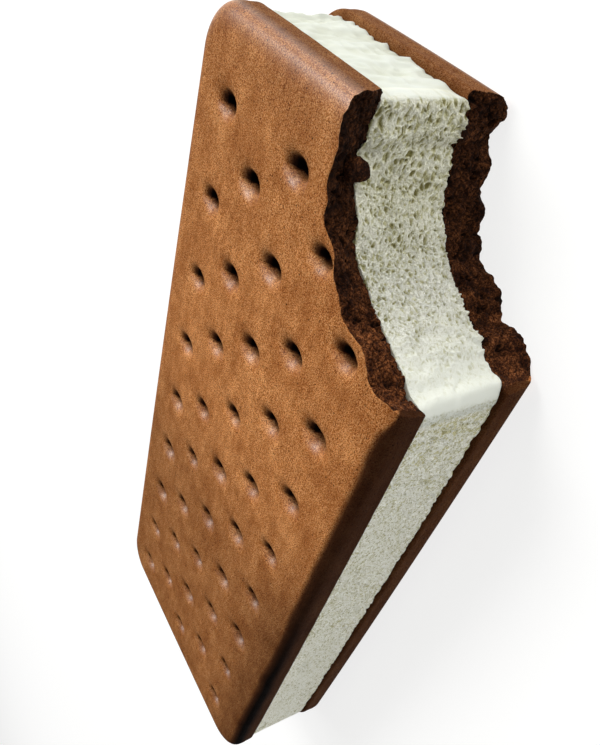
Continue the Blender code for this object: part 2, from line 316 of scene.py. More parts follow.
def frozenVanilla():
    # Vanilla ice cream: fat and fine air bubbles scatter light, and its ridges are pale cream. Its pits
    # and open bubbles are painted olive as their shade, more so on the upper bite wall, which faces away
    # from the lamps. The knife-cut long sides are open with bubbles of 0.3 mm.
    made, tree, shader = newMaterial("frozen vanilla")
    place = addNode(tree, "ShaderNodeTexCoord").outputs["Object"]
    hollow = addNode(tree, "ShaderNodeAttribute", {"attribute_name": "hollow"}).outputs["Fac"]
    rough = addNode(tree, "ShaderNodeAttribute", {"attribute_name": "rough"}).outputs["Fac"]
    cut = addNode(tree, "ShaderNodeAttribute", {"attribute_name": "cut"}).outputs["Fac"]
    smeared = addNode(tree, "ShaderNodeAttribute", {"attribute_name": "smeared"}).outputs["Fac"]
    grain = addNode(tree, "ShaderNodeTexNoise", inputs={
        "Vector": place, "Scale": 1 / (0.17 * mm), "Detail": 2, "Roughness": 0.7}).outputs["Fac"]
    patch = addNode(tree, "ShaderNodeTexNoise", inputs={
        "Vector": place, "Scale": 1 / (2.5 * mm), "Detail": 2, "Roughness": 0.5}).outputs["Fac"]
    # bubbles drawn out of round by a fine noise
    bent = addNode(tree, "ShaderNodeTexNoise", inputs={
        "Vector": place, "Scale": 1 / (0.4 * mm), "Detail": 1}).outputs["Color"]
    bent = addNode(tree, "ShaderNodeVectorMath", {"operation": "SCALE"}, {
        0: bent, "Scale": 0.5 * mm}).outputs[0]
    bent = addNode(tree, "ShaderNodeVectorMath", inputs={0: place, 1: bent}).outputs[0]
    cells = addNode(tree, "ShaderNodeTexVoronoi", inputs={"Vector": bent, "Scale": 1 / (0.4 * mm)})
    # each has its own size; one is open where its size, more in some patches, passes the distance
    patch = addNode(tree, "ShaderNodeMath", timesPlus, {0: rough, 1: 0.3, 2: patch}).outputs[0]
    size = addNode(tree, "ShaderNodeMath", times, {0: cells.outputs["Color"], 1: patch}).outputs[0]
    reach = addNode(tree, "ShaderNodeMath", {"operation": "SUBTRACT"}, {
        0: size, 1: cells.outputs["Distance"]}).outputs[0]
    opened = addNode(tree, "ShaderNodeMapRange", inputs={
        "Value": reach, "From Min": -0.12, "From Max": 0.10}).outputs["Result"]
    holes = addNode(tree, "ShaderNodeMath", times, {0: opened, 1: cut}).outputs[0]
    sandy = addNode(tree, "ShaderNodeMapRange", inputs={
        "Value": grain, "From Min": 0.54, "From Max": 0.33}).outputs["Result"]
    roughest = addNode(tree, "ShaderNodeMath", {"operation": "MAXIMUM"}, {0: rough, 1: cut}).outputs[0]
    grains = addNode(tree, "ShaderNodeMath", times, {0: sandy, 1: roughest}).outputs[0]
    share = addNode(tree, "ShaderNodeMath", timesPlus, {0: cut, 1: 0.2, 2: 0.26}).outputs[0]
    depth = addNode(tree, "ShaderNodeMath", timesPlus, {0: grains, 1: share, 2: hollow}).outputs[0]
    depth = addNode(tree, "ShaderNodeMath", timesPlus, {0: holes, 1: 0.6, 2: depth}).outputs[0]
    # pale cream to olive by depth: painted shade
    base = addNode(tree, "ShaderNodeValToRGB", inputs={"Fac": depth}, stops=[
        (0.0, "#fdfdf0"), (0.5, "#cfcb9e"), (1.0, "#8a834a")]).outputs["Color"]
    base = addNode(tree, "ShaderNodeMix", tint, {0: smeared, 6: base, 7: linear("#cdd1d2")}).outputs[2]
    sunk = addNode(tree, "ShaderNodeMath", timesPlus, {0: grains, 1: 1.0, 2: holes}).outputs[0]
    bump = addNode(tree, "ShaderNodeBump", {"invert": True}, {
        "Height": sunk, "Distance": 0.15 * mm, "Strength": 1.0})
    tree.links.new(base, shader.inputs["Base Color"])
    tree.links.new(bump.outputs["Normal"], shader.inputs["Normal"])
    shader.inputs["Roughness"].default_value = 0.42
    shader.inputs["IOR"].default_value = 1.35
    shader.inputs["Subsurface Weight"].default_value = 0.06
    shader.inputs["Subsurface Radius"].default_value = (1.0, 0.9, 0.7)
    shader.inputs["Subsurface Scale"].default_value = 0.3 * mm
    return made


def bowed(x, y):
    # sides swell outwards, most at their middle and not at all at the corners
    u, v = x / (sandwich["length"] / 2), y / (sandwich["width"] / 2)
    return (x + np.sign(x) * sandwich["bowShort"] * (1 - v * v) * abs(u),
            y + np.sign(y) * sandwich["bowLong"] * (1 - u * u) * abs(v))


def straightened(x, y):
    # a swollen place drawn back by the same amount
    u, v = x / (sandwich["length"] / 2), y / (sandwich["width"] / 2)
    return (x - np.sign(x) * sandwich["bowShort"] * (1 - v * v) * abs(u),
            y - np.sign(y) * sandwich["bowLong"] * (1 - u * u) * abs(v))


def insideDistance(x, y, length, width, radius):
    # how far a place lies inside a rectangle with round corners
    qx, qy = abs(x) - (length / 2 - radius), abs(y) - (width / 2 - radius)
    return radius - np.hypot(np.maximum(qx, 0), np.maximum(qy, 0)) - np.minimum(np.maximum(qx, qy), 0)


def outwards(x, y):
    # unit directions square to a closed ring of points
    dx = np.roll(x, -1) - np.roll(x, 1)
    dy = np.roll(y, -1) - np.roll(y, 1)
    size = np.hypot(dx, dy)
    return dy / size, -dx / size


bite = dict(
    x=61.5, y=-29.0,                    # just outside the missing corner
    back=21.5,                          # how near the middle the cutters' hidden backs stand
    denseFrom=-14, denseTo=114,         # degrees between which the wall is finely modelled
    # hollows and humps round the bite: degrees, and how far from its middle
    topFace=[(0, 23.3), (9, 24.3), (17.5, 25.7), (25, 24.2), (36.5, 25.8), (40.5, 25.4), (45, 25.6),
             (50.5, 24.8), (59, 26.4), (62.5, 25.6), (66, 25.7), (75.5, 24.3), (79, 24.5), (88, 23.3)],
    topRim=[(0, 25.0), (13, 25.9), (18, 25.2), (28, 25.1), (40, 25.8), (51, 27.0), (58, 26.2),
            (65, 26.8), (72, 26.0), (78, 25.4), (85, 24.6)],
    spur=(72.3, 1.3, 0.9),              # degrees, half its width in degrees, and its reach
    slab=[(6, 25.7), (10, 25.0), (16, 25.4), (21, 24.9), (30, 25.0), (42, 25.3), (53, 25.6),
          (61, 25.7), (69, 25.2), (73, 25.1), (77, 24.2), (84, 24.6)],
    underFace=[(2, 24.3), (9, 24.7), (13, 23.7), (20, 23.1), (27, 24.5), (34, 23.1), (38, 24.0), (44, 25.0),
               (48.5, 24.4), (51.5, 25.0), (58, 23.8), (62, 24.4), (69.5, 23.6), (76, 24.8), (83, 22.8)],
)


def toothRadius(degrees, edge):
    # each hollow runs into the next hump along a smooth step
    at, reach = np.array(edge).T
    after = np.clip(np.searchsorted(at, degrees), 1, len(at) - 1)
    share = smoothStep(at[after - 1], at[after], degrees)
    return reach[after - 1] + (reach[after] - reach[after - 1]) * share


def bitePlace(degrees, radius):
    angle = np.radians(180 - degrees)
    return bite["x"] + radius * np.cos(angle), bite["y"] + radius * np.sin(angle)


def biteAngles(x, y):
    return np.degrees(np.arctan2(y - bite["y"], bite["x"] - x)), np.hypot(x - bite["x"], y - bite["y"])


def biteCutter(name, low, high, cell, wall, finishes, crustAt=None):
    # closed rings from below the layer to above it: fine along the wall, plain behind it
    dense = np.arange(bite["denseFrom"], bite["denseTo"], math.degrees(cell / bite["topFace"][0][1]))
    coarse = np.linspace(bite["denseTo"], bite["denseFrom"] + 360, 30)[:-1]
    heights = np.concatenate([[low - 1.5], np.arange(low - 0.5, high + 0.5, cell), [high + 1.5]])
    z, degrees = np.meshgrid(heights, dense, indexing="ij")
    radius = wall(degrees.ravel(), z.ravel()).reshape(z.shape)
    x, y = bitePlace(degrees, radius)
    backX, backY = bitePlace(*np.broadcast_arrays(coarse[None, :], np.full((len(heights), 1), bite["back"])))
    x, y = np.hstack([x, backX]), np.hstack([y, backY])
    z = np.broadcast_to(heights[:, None], x.shape)
    rows, columns = x.shape
    # angles run clockwise, so each ring is turned round to make the faces point out
    points = np.stack([x, y, z], axis=-1)[:, ::-1].reshape(-1, 3)
    quads = gridQuads(rows, columns, True)
    finish = np.ones(len(quads) + 2, dtype=np.int32)
    if crustAt is not None:
        middle = points[quads].mean(axis=1)
        degrees = biteAngles(middle[:, 0], middle[:, 1])[0]
        finish[:len(quads)] = np.where(crustAt(degrees, middle[:, 2]), 0, 1)
    faces = quads.tolist()
    faces.append(list(range(columns))[::-1])
    faces.append(list(range((rows - 1) * columns, rows * columns)))
    return makePiece(name, points, faces, finishes, finish)


wafer = dict(
    pitchX=6.3, pitchY=8.25,            # docker holes stand on every second place of this grid
    rows=8, lines=2, jog=0.35, start=(-0.45, -0.2),
    cellsX=18, cellsY=24,               # mesh cells in one pitch
    wallCell=0.1,                       # and on the bitten wall
    blockX=2.8, blockY=2.75,            # the mesh turns to rings within this of a hole
    roundIn=4.2, roundDown=2.6, fullness=2.8,      # the rounding of the crust's edge
    rimRound=0.5, innerFace=3.0,
    edgeCells=25,
    # depth and radius of a hole's soft dip, of the ramp on its plain-end side, and of its shaft
    dip=(0.85, 1.7), ramp=(0.95, 1.12), shaft=(2.3, 0.98),
    oval=(0.76, 1.14),                  # holes are drawn in along the wafer and out across it
    steepness=6,                        # the power of the shaft's wall
    # the pins went in at a slant, so the dip and the ramp are off the shaft
    dipLean=(0.0, 0.75), rampLean=(-0.88, -0.05),
    slant=(-0.1, -0.3),                 # and the shaft's foot is off its mouth
    clearance=3.0,                      # between a hidden hole and the bite
    unevenness=0.07,
    # where the dark of the long sides starts and is full: in front, by the bite, and behind; the front's
    # dark is partly painted shade
    darkFront=(6.9, 5.3), darkTip=(4.7, 4.0), darkBack=(7.6, 4.2), backShare=0.5,
    # degrees round the bite, and how light the crumb is painted there: painted light where the torn wall
    # faces the lamps, painted shade where it turns away
    topPaintedLight=([2, 10, 24, 44, 70], [0.85, 1.2, 1.2, 0.5, 0.2]),
    bottomPaintedLight=([2, 15, 30, 50, 70], [1.0, 0.8, 0.6, 0.36, 0.36]),
)
# rings round a hole: share of the block, and the share it is drawn in to
ringShares = ([0, 0.125, 0.25, 0.375, 0.5, 0.625, 0.75, 0.875, 1],
              [0, 0.12, 0.22, 0.30, 0.37, 0.45, 0.58, 0.77, 1])


def holePlaces():
    places = []
    for row in range(-wafer["rows"], wafer["rows"] + 1):
        jog = wafer["jog"] * (row % 2) * ((row % 4) - 2)
        for line in range(-wafer["lines"], wafer["lines"] + 1):
            if (row + line) % 2 == 0:
                places.append((row * wafer["pitchX"] + jog + wafer["start"][0],
                               line * wafer["pitchY"] + wafer["start"][1]))
    return places


def evenThenFine(reach, pitch, steps, cells, beyond, edgeCells):
    # even lines out past the last hole, then lines that crowd towards the edge
    inner = steps * pitch + beyond
    count = int(round(inner / (pitch / cells)))
    middle = np.linspace(-inner, inner, 2 * count + 1)
    left = (1 - np.arange(1, edgeCells + 1) / edgeCells) ** 1.5
    edge = inner + (reach - inner) * (1 - left)
    return np.concatenate([-edge[::-1], middle, edge])


def roundCorners(x, y, length, width, radius):
    # each corner square becomes a quarter disc: (p, q) to (p sqrt(1 - q*q/2), q sqrt(1 - p*p/2))
    p = np.clip((abs(x) - (length / 2 - radius)) / radius, 0, None)
    q = np.clip((abs(y) - (width / 2 - radius)) / radius, 0, None)
    corner = (p > 0) & (q > 0)
    newX = np.sign(x) * (length / 2 - radius + radius * p * np.sqrt(1 - q * q / 2))
    newY = np.sign(y) * (width / 2 - radius + radius * q * np.sqrt(1 - p * p / 2))
    return np.where(corner, newX, x), np.where(corner, newY, y)


def pressHoles(x, y, seed, places):
    # the square mesh round each hole is drawn into rings, then sunk as two soft dips and a shaft
    random = np.random.default_rng(seed)
    depth = np.zeros_like(x)
    newX, newY = x.copy(), y.copy()
    for holeX, holeY in places:
        size, sink, leanX, leanY = 1 + 0.09 * random.uniform(-1, 1, 4)
        p, q = (x - holeX) / wafer["blockX"], (y - holeY) / wafer["blockY"]
        ring = np.maximum(abs(p), abs(q))
        near = ring < 1
        p, q, ring = p[near], q[near], np.maximum(ring[near], 1e-9)
        drawn = np.interp(ring, *ringShares)
        square = smoothStep(0.5, 1.0, ring)
        away = np.maximum(np.hypot(p, q), 1e-9)
        stretch = drawn * ((1 - square) / away + square / ring)
        ovalX, ovalY = [o + (1 - o) * square for o in wafer["oval"]]
        newX[near] = holeX + p * stretch * wafer["blockX"] * ovalX
        newY[near] = holeY + q * stretch * wafer["blockY"] * ovalY
        acrossX, acrossY = (newX - holeX) / wafer["oval"][0], (newY - holeY) / wafer["oval"][1]
        radius = np.hypot(acrossX, acrossY) / size
        fromDip = np.hypot(acrossX - wafer["dipLean"][0], acrossY - wafer["dipLean"][1]) / size
        fromRamp = np.hypot(acrossX - wafer["rampLean"][0], acrossY - wafer["rampLean"][1]) / size
        dip = wafer["dip"][0] * np.exp(-(fromDip / wafer["dip"][1]) ** 2)
        dip = dip + wafer["ramp"][0] * np.exp(-(fromRamp / wafer["ramp"][1]) ** 2)
        shaft = sink / (1 + (radius / wafer["shaft"][1]) ** wafer["steepness"])
        reached = radius < 5
        depth[reached] += (dip + wafer["shaft"][0] * shaft)[reached]
        newX[near] += ((leanX - 1) * 4 + wafer["slant"][0]) * shaft[near]
        newY[near] += ((leanY - 1) * 4 + wafer["slant"][1]) * shaft[near]
    return newX, newY, depth


def rampSide(x, y):
    # 1 on the ramp's side of the nearest hole, 0 on its other side, and 0 far from any
    share = np.zeros(len(x))
    for holeX, holeY in holePlaces():
        along = 0.99 * (holeX - x) + 0.1 * (holeY - y)
        near = np.hypot(x - holeX, y - holeY) < 3
        share[near] = smoothStep(0.3, 1.0, along[near])
    return share


def waferShell(name, crustUp, seed, finishes):
    length, width, corner = sandwich["length"], sandwich["width"], sandwich["corner"]
    thick, w = sandwich["wafer"], wafer
    linesX = evenThenFine(length / 2, w["pitchX"], w["rows"], w["cellsX"], w["blockX"], w["edgeCells"])
    linesY = evenThenFine(width / 2, w["pitchY"], w["lines"], w["cellsY"], w["blockY"], w["edgeCells"] - 1)
    x, y = [a.ravel() for a in np.meshgrid(linesX, linesY, indexing="ij")]
    x, y = roundCorners(x, y, length, width, corner)
    inside = insideDistance(x, y, length, width, corner)
    # the outer rim falls along a full superellipse
    share = np.clip((w["roundIn"] - inside) / w["roundIn"], 0, 1)
    drop = w["roundDown"] * (1 - (1 - share ** w["fullness"]) ** (1 / w["fullness"]))
    places = holePlaces()
    if not crustUp:
        far = bite["topFace"][0][1] + 2 + wafer["clearance"]
        places = [place for place in places if biteAngles(*place)[1] > far]
    x, y, sunk = pressHoles(x, y, seed, places)
    flat = np.stack([x, y, np.zeros_like(x)], axis=1)
    flatness = smoothStep(0.0, 2.5, inside)
    uneven = 0.5 + 0.5 * layeredNoise(flat, 9.0, 4, seed)
    height = thick - drop - sunk - w["unevenness"] * uneven * flatness
    face = np.stack([x, y, height], axis=1)

    # the rim of the face grid, anticlockwise from its low corner
    nx, ny = len(linesX), len(linesY)
    index = np.arange(nx * ny).reshape(nx, ny)
    ring = np.concatenate([index[:, 0], index[-1, 1:], index[-2::-1, -1], index[0, -2:0:-1]])
    rimX, rimY = x[ring], y[ring]
    outX, outY = outwards(rimX, rimY)
    # rows down the side, round the inner rim, and in across the inner face
    turn = np.linspace(0, math.pi / 2, 5)
    sideHeights = np.linspace(thick - w["roundDown"], w["rimRound"], 9)[1:]
    rimHeights = w["rimRound"] * (1 - np.sin(turn[1:]))
    heights = np.concatenate([sideHeights, rimHeights, np.zeros(3)])
    insets = np.concatenate([np.zeros(len(sideHeights)), w["rimRound"] * (1 - np.cos(turn[1:])),
                             w["rimRound"] + w["innerFace"] * np.array([0.15, 0.4, 1])])
    around = np.tile(np.stack([rimX, rimY], axis=1), (len(heights), 1))
    level = np.repeat(heights, len(ring))
    inset = np.repeat(insets, len(ring))
    relief = np.column_stack([around, level])
    inset = inset + 0.10 * (0.5 + 0.5 * layeredNoise(relief, 2.2, 3, seed + 5)) * smoothStep(
        0, 0.6, thick - w["roundDown"] - level)
    side = np.column_stack([around[:, 0] - inset * np.tile(outX, len(heights)),
                            around[:, 1] - inset * np.tile(outY, len(heights)), level])

    points = np.vstack([face, side])
    a = index[:-1, :-1].ravel(), index[1:, :-1].ravel(), index[1:, 1:].ravel(), index[:-1, 1:].ravel()
    faces = np.stack(a, axis=1).tolist()
    count = len(ring)
    rows = np.vstack([ring, nx * ny + np.arange(len(heights) * count).reshape(len(heights), count)])
    after = np.roll(rows, -1, axis=1)
    walls = np.stack([rows[:-1], rows[1:], after[1:], after[:-1]], axis=-1).reshape(-1, 4)
    faces += walls.tolist()
    faces.append(rows[-1][::-1].tolist())

    points[:, 0], points[:, 1] = bowed(points[:, 0], points[:, 1])
    if crustUp:
        points[:, 2] = sandwich["fillingHigh"] + points[:, 2]
    else:
        points[:, 2] = sandwich["fillingLow"] - points[:, 2]
        faces = [f[::-1] for f in faces]
    return makePiece(name, points, faces, finishes)


def crumbTexture(degrees, z, radius, seed):
    # broad swells; crevices along the borders of scattered cells; torn pores at some middles.
    # Gives the swell, the depth of the rest, and how dark each place lies, as painted shade in the
    # crevices and pores.
    x, y = bitePlace(degrees, radius)
    p = np.column_stack([x, y, z])
    swell = 0.34 * layeredNoise(p, 1.8, 3, seed) + 0.20 * layeredNoise(p, 0.7, 2, seed + 6)
    warp = np.column_stack([softNoise(p, 0.5, seed + 1 + axis) for axis in range(3)])
    near, nextNear, own = cellNoise(p + 0.3 * warp, 0.95, seed + 3)
    crevice = (1 - smoothStep(0.0, 0.4, nextNear - near)) * (0.3 + 0.7 * own)
    near, nextNear, own = cellNoise(p + 0.4 * warp, 1.4, seed + 9)
    pores = smoothStep(0.55 * own, 0.1 * own, near)
    hollow = np.clip(0.6 * crevice + 0.8 * pores, 0, 1)
    return swell, 0.32 * crevice + 0.55 * pores, hollow


def between(degrees, share, edge, farEdge):
    # a straight slant from one outline to another
    return (1 - share) * toothRadius(degrees, bite[edge]) + share * toothRadius(degrees, bite[farEdge])


def spurReach(degrees, z):
    # a short spur of the filling beside the loose crumb: a bell in angle, fading below and above
    place, width, height = bite["spur"]
    return height * np.exp(-((degrees - place) / width) ** 2 - ((z - sandwich["fillingHigh"]) / 1.5) ** 2)


def jags(degrees, seed):
    # narrow peaks from 0 to 1 where a soft noise crosses zero, each with its own height
    along = np.radians(degrees) * 25.0
    line = np.column_stack([along, 0 * along, 0 * along])
    peak = 1 - np.clip(2.6 * abs(softNoise(line, 0.7, seed)), 0, 1)
    return peak * (0.55 + 0.45 * softNoise(line, 1.3, seed + 1))


def topBase(degrees, z):
    # from the outline at the filling to the one at the crust
    share = np.clip((z - sandwich["fillingHigh"]) / sandwich["wafer"], 0, 1)
    return between(degrees, share, "topRim", "topFace") + spurReach(degrees, z), share


def topWall(degrees, z):
    # crumb relief on the slant, notched where it meets the ice cream; the crust tears off a little
    # proud of it, in small flakes
    radius, share = topBase(degrees, z)
    swell, depth, hollow = crumbTexture(degrees, z, radius, 11)
    x, y = bitePlace(degrees, radius)
    flakes = 0.2 * layeredNoise(np.column_stack([x, y, 0 * x]), 1.0, 2, 17)
    lip = smoothStep(0.88, 0.95, share)
    torn = 1 - 0.8 * smoothStep(14, 8, degrees)
    notches = 0.35 * jags(degrees, 13) * smoothStep(0.16, 0.06, share)
    return radius + (1 - lip) * torn * (swell + depth + notches) + lip * (flakes - 0.15)


def topCrustAt(degrees, z):
    # the torn crust itself, and the smooth end near the long side
    ragged = softNoise(np.column_stack([z, z, z]), 1.3, 19)
    return (z > topHigh[2] - 0.32) | (degrees < 8.5 + 1.2 * ragged)


def bottomBase(degrees, z):
    # from the outline at the filling to the one at the underside
    share = np.clip((sandwich["fillingLow"] - z) / sandwich["wafer"], 0, 1)
    return between(degrees, share, "slab", "underFace"), share


def bottomWall(degrees, z):
    # crumb relief on the slant, with fine fraying in place of pores at its outer edge
    radius, share = bottomBase(degrees, z)
    swell, depth, hollow = crumbTexture(degrees, z, radius, 31)
    x, y = bitePlace(degrees, radius)
    fray = 0.2 * layeredNoise(np.column_stack([x, y, z]), 0.7, 2, 37)
    torn = 1 - 0.8 * smoothStep(14, 8, degrees)
    outer = smoothStep(0.8, 1.0, share)
    return radius + torn * (swell + depth * (1 - outer) + fray * outer)


def bottomCrustAt(degrees, z):
    # only the smooth end near the long side
    return degrees < 8.5 + 1.2 * softNoise(np.column_stack([z, z, z]), 1.3, 29)


def finishWafer(piece, crustUp, base, seed):
    # how dark each place is: the long sides most, then the holes, the ends and the inner face. The cut
    # long sides and the ends are baked darker; the holes, the inner face beside the ice cream, the plain
    # end, and the front long side, which faces away from the lamps, are darkened as painted shade.
    # On a long side, height and distance from the edge are added to run over its rounding.
    p = pointsOf(piece)
    length, width = sandwich["length"], sandwich["width"]
    x, y = straightened(p[:, 0], p[:, 1])
    fromInner = p[:, 2] - sandwich["fillingHigh"] if crustUp else sandwich["fillingLow"] - p[:, 2]
    inside = insideDistance(x, y, length, width, sandwich["corner"])
    wobble = 0.3 * layeredNoise(p * [1, 0, 0], 5.0, 2, seed + 2)
    over = fromInner + width / 2 - abs(y) + wobble
    degrees, away = biteAngles(p[:, 0], p[:, 1])
    radius = base(degrees, p[:, 2])[0]
    fromBite = smoothStep(0.5, 5.0, away - radius)
    # the front long side, which faces away from the lamps, is painted darker than the cut colour alone, and
    # further in towards the plain end: painted shade
    (frontStart, frontFull), (tipStart, tipFull) = wafer["darkFront"], wafer["darkTip"]
    starts = tipStart + (frontStart - tipStart) * fromBite
    full = tipFull + (frontFull - tipFull) * fromBite
    back = wafer["backShare"] * smoothStep(*wafer["darkBack"], over)
    starts = starts + 1.6 * smoothStep(0.1, -0.3, x / length)
    # painted shade, darkest over the crown of the long side, towards the plain end
    crownShade = 0.06 * np.exp(-((over - 3.8) / 1.3) ** 2) * smoothStep(0.2, -0.3, x / length)
    deep = (0.95 if crustUp else 0.90) + crownShade
    sides = deep * np.where(y < 0, smoothStep(starts, full, over), back)
    sides = sides * smoothStep(1.0, 5.0, length / 2 - abs(x))
    ends = smoothStep(4.7, 3.2, fromInner + length / 2 - abs(x))
    sunk = (sandwich["wafer"] - fromInner) * smoothStep(5.2, 5.6, inside)
    ramp = rampSide(x, y)
    # painted shade in the holes; on the ramp side, which faces the lamps, it starts deeper
    hole = 0.93 * smoothStep(0.15 + ramp, 0.75 + ramp, sunk) + 0.07 * smoothStep(0.6, 1.1, sunk - ramp)
    edge = smoothStep(14, 2, inside) * (0.5 + 0.5 * layeredNoise(p * [1, 1, 0], 7.0, 3, 23))
    # the face darker towards the plain end, and towards the front long side there: painted shade for the
    # light falling off; and a little darker towards the bitten end
    faceShade = 0.36 * smoothStep(0.1, -0.15, x / length) + 0.14 * smoothStep(0.2, 0.5, x / length)
    faceShade = faceShade + 0.25 * smoothStep(-12, -25, y) * smoothStep(0.15, -0.1, x / length)
    # painted shade on the inner face and inner rim, in the gap left bare beside the ice cream
    inner = smoothStep(0.5, 0.1, fromInner) * np.maximum(sides, smoothStep(0.8, 1.5, inside))
    setAttribute(piece, "bakeAndShade", np.maximum.reduce(
        [sides, 0.62 * ends, hole, 0.1 * edge + faceShade, 0.9 * inner]))
    # waxy at the upper edge of the bitten end, and on the ramps of the holes
    waxEnd = smoothStep(9, 3, length / 2 - x) * smoothStep(2.6, 3.4, fromInner)
    waxEnd = waxEnd * smoothStep(4.85, 4.3, fromInner)
    wax = np.maximum(0.04 + 0.96 * waxEnd, ramp * smoothStep(0.1, 0.4, sunk))
    setAttribute(piece, "wax", wax * (1 - hole) * (1 - sides))
    # painted light and shade on the crumb: lighter where the torn wall faces the lamps, darker where it
    # turns away, and dark in its crevices and pores
    light = np.interp(degrees, *(wafer["topPaintedLight"] if crustUp else wafer["bottomPaintedLight"]))
    setAttribute(piece, "hollow", 1 - light * (1 - crumbTexture(degrees, p[:, 2], radius, seed)[2]))


iceCream = dict(
    inset=(0.55, 0.3),                  # how far its ends and its long sides stand in from the wafers'
    cell=0.35, wallCell=0.09,
    lowMelt=0.6, highMelt=0.3,          # rounding of its lower and upper edges
    cover=1.4,                          # how far in the finely modelled top and underside reach
    # degrees round the bite, and the millimetres that they count for in the texture
    alongBite=([-20, 12, 54, 66, 77, 84, 120], [-2.8, 5.2, 23.2, 27.4, 30.6, 32.2, 40.0]),
    bubble=0.62, bubbleDepth=0.38,      # broken bubbles of the bite wall
    dimple=0.34, dimpleDepth=0.15,
    jag=0.65,                           # how far its lower edge stands out in small points
    lipX=(59.5, 0.8), lipY=(-25.85, 1.7),          # where each lip of the bite ends, and how round it is
)


def roundedRing(length, width, corner, step):
    # the centre of curvature and the outward angle both change evenly along each side and arc
    a, b, arc = length / 2 - corner, width / 2 - corner, corner * math.pi / 2
    knots = np.cumsum([0] + [2 * b, arc, 2 * a, arc] * 2)
    along = np.linspace(0, knots[-1], int(knots[-1] / step), endpoint=False)
    turn = np.radians(np.interp(along, knots, [0, 0, 90, 90, 180, 180, 270, 270, 360]))
    centreX = np.interp(along, knots, [a, a, a, -a, -a, -a, -a, a, a])
    centreY = np.interp(along, knots, [-b, b, b, b, b, -b, -b, -b, -b])
    outX, outY = np.cos(turn), np.sin(turn)
    return centreX + corner * outX, centreY + corner * outY, outX, outY


def brokenBubbles(p, size, seed):
    # pits about scattered points, 1 - r^2 deep, kept apart by thin ridges where two are equally near
    near, nextNear, own = cellNoise(p, size, seed)
    pit = 0.35 + 0.65 * (1 - np.clip(near / 0.85, 0, 1) ** 2)
    return pit * (1 - np.exp(-((nextNear - near) / 0.26) ** 1.4)) * (0.62 + 0.38 * own)


def iceTexture(degrees, z):
    # large and small broken bubbles, bent out of shape, longer along the bite at its upper end, and
    # crests across them where a soft noise crosses zero; all are shallow at the lower end
    along = np.interp(degrees, *iceCream["alongBite"]) / 1.1
    wide = 1 + 0.3 * smoothStep(50, 75, degrees)
    p = np.column_stack([along, (z - 10.8) / wide, 0.3 * z])
    p = p + 0.3 * np.column_stack([softNoise(p, 0.45, seed) for seed in (51, 52, 53)])
    crests = 1 - np.clip(2.4 * abs(softNoise(p, 0.8, 73)), 0, 1)
    bubbles = brokenBubbles(p, iceCream["bubble"], 61) * (1 - 0.4 * crests)
    dimples = brokenBubbles(p, iceCream["dimple"], 67)
    patch = 0.85 + 0.15 * smoothStep(-0.4, 0.2, softNoise(p, 2.4, 71))
    rough = (0.12 + 0.88 * smoothStep(4, 42, degrees)) * patch
    return bubbles, dimples, rough


def iceBase(degrees, z):
    # a straight slant between the outlines of the two wafers, and how free each place is of the lips
    low, high = sandwich["fillingLow"], sandwich["fillingHigh"]
    share = np.clip((z - low) / (high - low), 0, 1)
    radius = between(degrees, share, "slab", "topRim") + spurReach(degrees, z)
    x, y = bitePlace(degrees, radius)
    lips = smoothStep(59.7, 58.9, x) * smoothStep(-25.65, -23.65, y)
    return radius, x, y, lips


def iceWall(degrees, z):
    # base, soft folds, broken bubbles, one arched fold, quarter rounds at both lips, and small points
    # along the lower edge
    radius, x, y, lips = iceBase(degrees, z)
    bubbles, dimples, rough = iceTexture(degrees, z)
    p = np.column_stack([x, y, z])
    folds = 0.30 * softNoise(p * [1, 1, 0.5], 2.4, 75) + 0.25 * softNoise(p * [1, 1, 0.4], 5.0, 76)
    folds = folds + 0.16 * softNoise(p, 1.1, 79)
    along = np.interp(degrees, *iceCream["alongBite"])
    arch = along - 12.6 + 0.07 * (z - 11.5) ** 2 + 0.4 * softNoise(p, 1.5, 77)
    folds = folds - 0.3 * np.exp(-(arch / 0.55) ** 2)
    # it meets the top wafer at the wafer's own edge
    folds = folds * smoothStep(0, 1.5, sandwich["fillingHigh"] - z)
    relief = (iceCream["bubbleDepth"] * bubbles + iceCream["dimpleDepth"] * dimples) * rough * lips
    (endX, sizeX), (endY, sizeY) = iceCream["lipX"], iceCream["lipY"]
    pastX, pastY = np.clip((x - endX) / sizeX + 1, 0, 1), np.clip((endY - y) / sizeY + 1, 0, 1)
    flare = sizeX * (1 - np.sqrt(1 - pastX ** 2)) + sizeY * (1 - np.sqrt(1 - pastY ** 2))
    points = iceCream["jag"] * jags(degrees, 15) * smoothStep(1.0, 0.1, z - sandwich["fillingLow"]) * lips
    return radius + folds + relief + flare - points - 0.1


def sidePits(p):
    # opened bubbles about scattered points, in patches; each has its own size
    near, nextNear, own = cellNoise(p, 0.8, 91)
    patches = 0.35 + 0.65 * smoothStep(-0.3, 0.4, softNoise(p, 3.0, 93))
    return smoothStep(0.25 + 0.35 * own, 0.1, near) * patches


def endRidges(p):
    # ridges smeared across the short ends, long in height: narrow where a soft noise crosses zero
    long = 1 - np.clip(2.0 * abs(softNoise(p * [1, 1, 0.3], 1.9, 85)), 0, 1)
    short = 1 - np.clip(2.0 * abs(softNoise(p * [1, 1, 0.5], 0.9, 87)), 0, 1)
    return 0.6 * long + 0.4 * short


